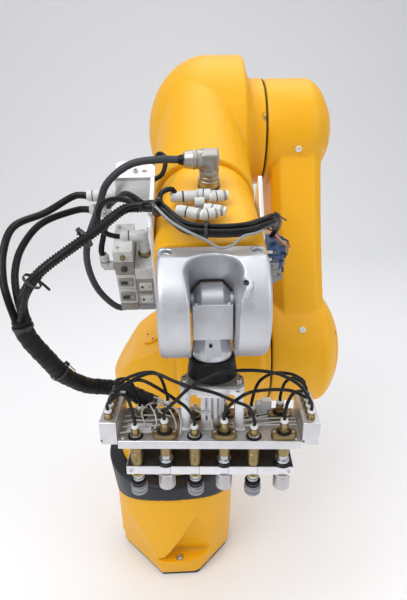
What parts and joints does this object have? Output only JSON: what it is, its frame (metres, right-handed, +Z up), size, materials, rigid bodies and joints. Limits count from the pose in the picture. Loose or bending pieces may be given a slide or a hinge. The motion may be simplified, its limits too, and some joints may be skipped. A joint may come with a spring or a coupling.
{
  "type": "industrial robot arm",
  "caption": "Compact floor-standing six-axis arm with a cast wrist fork, looping hoses and a two-plate gripper with rows of ported units.",
  "frame": {"origin": "point where the first joint's axis meets the floor, in the middle of the foot's underside", "axes": "+Z up along the first joint's axis; -Y towards the viewer, the way the arm reaches at rest; +X to the viewer's right, the side that the upper arm is on"},
  "size_m": [0.3661, 0.4257, 0.7123],
  "materials": {
    "yellow_paint": "textured yellow-orange enamel",
    "dark_paint": "dark grey enamel",
    "black_plastic": "matt black",
    "cast_aluminium": "satin cast and machined",
    "anodised_aluminium": "clear anodised",
    "steel": "machined",
    "white_plastic": "moulded",
    "black_rubber": "smooth black hose",
    "grey_rubber": "grey cable sheath"
  },
  "bodies": {
    "base": {"base_foot": "dark_paint", "base_pedestal": "yellow_paint", "base_collar": "dark_paint", "base_connector_panel": "black_plastic"},
    "shoulder": {"shoulder_housing": "yellow_paint", "shoulder_cap": "yellow_paint"},
    "upper_arm": {"upper_arm": "yellow_paint", "arm_lower_cover": "yellow_paint", "arm_upper_cover": "yellow_paint"},
    "elbow": {"elbow_housing": "yellow_paint"},
    "forearm": {"forearm_tube": "yellow_paint", "wrist_fork": "cast_aluminium", "user_connector": "steel", "left_bracket": "anodised_aluminium", "valve_block_right": "white_plastic", "valve_block_left": "white_plastic", "valve_elbow_fitting": "white_plastic", "side_elbow_fitting": "white_plastic", "right_bracket": "anodised_aluminium", "terminal_row": "black_plastic", "hose_tee": "white_plastic", "fitting_row": "white_plastic", "front_bundle": "black_rubber", "riser_tube": "black_rubber", "grey_cable": "grey_rubber", "loop_hose_upper": "black_rubber", "loop_hose_lower": "black_rubber", "loop_bundle": "black_rubber"},
    "wrist": {"wrist_body": "cast_aluminium"},
    "tool": {"gripper_unit_back_1": "steel", "gripper_unit_back_2": "steel", "gripper_unit_back_3": "steel", "gripper_unit_back_4": "steel", "gripper_unit_back_5": "steel", "gripper_unit_back_6": "steel", "gripper_unit_front_1": "steel", "gripper_unit_front_2": "steel", "gripper_unit_front_3": "steel", "gripper_unit_front_4": "steel", "gripper_unit_front_5": "steel", "gripper_unit_front_6": "steel", "loop_sleeve": "black_rubber", "lower_plate": "anodised_aluminium", "manifold_left": "anodised_aluminium", "manifold_right": "anodised_aluminium", "ring_plate": "steel", "tool_bridge": "anodised_aluminium", "tool_collar": "black_plastic", "top_plate": "anodised_aluminium"}
  },
  "joints": [
    {"name": "base_turn", "type": "hinge", "parent": "base", "child": "shoulder", "pos_m": [0, 0, 0.182], "axis": [0, 0, 1], "range_deg": [-160, 160]},
    {"name": "shoulder_lean", "type": "hinge", "parent": "shoulder", "child": "upper_arm", "pos_m": [0, 0, 0.341], "axis": [1, 0, 0], "range_deg": [-110, 41]},
    {"name": "elbow_open", "type": "hinge", "parent": "upper_arm", "child": "elbow", "pos_m": [0, 0.08479, 0.61833], "axis": [-1, 0, 0], "range_deg": [-9, 264]},
    {"name": "forearm_roll", "type": "hinge", "parent": "elbow", "child": "forearm", "pos_m": [0.049, 0.08479, 0.61833], "axis": [0, -0.9063, -0.4226], "range_deg": [-180, 180]},
    {"name": "wrist_bend", "type": "hinge", "parent": "forearm", "child": "wrist", "pos_m": [0.049, -0.19617, 0.48732], "axis": [-1, 0, 0], "range_deg": [-25, 140], "deforming": ["loop_hose_upper", "loop_hose_lower", "loop_bundle", "loop_sleeve"]},
    {"name": "flange_turn", "type": "hinge", "parent": "wrist", "child": "tool", "pos_m": [0.049, -0.19617, 0.48732], "axis": [0, 0, -1], "range_deg": [-90, 90], "deforming": ["loop_hose_upper", "loop_hose_lower", "loop_bundle", "loop_sleeve"]}
  ]
}
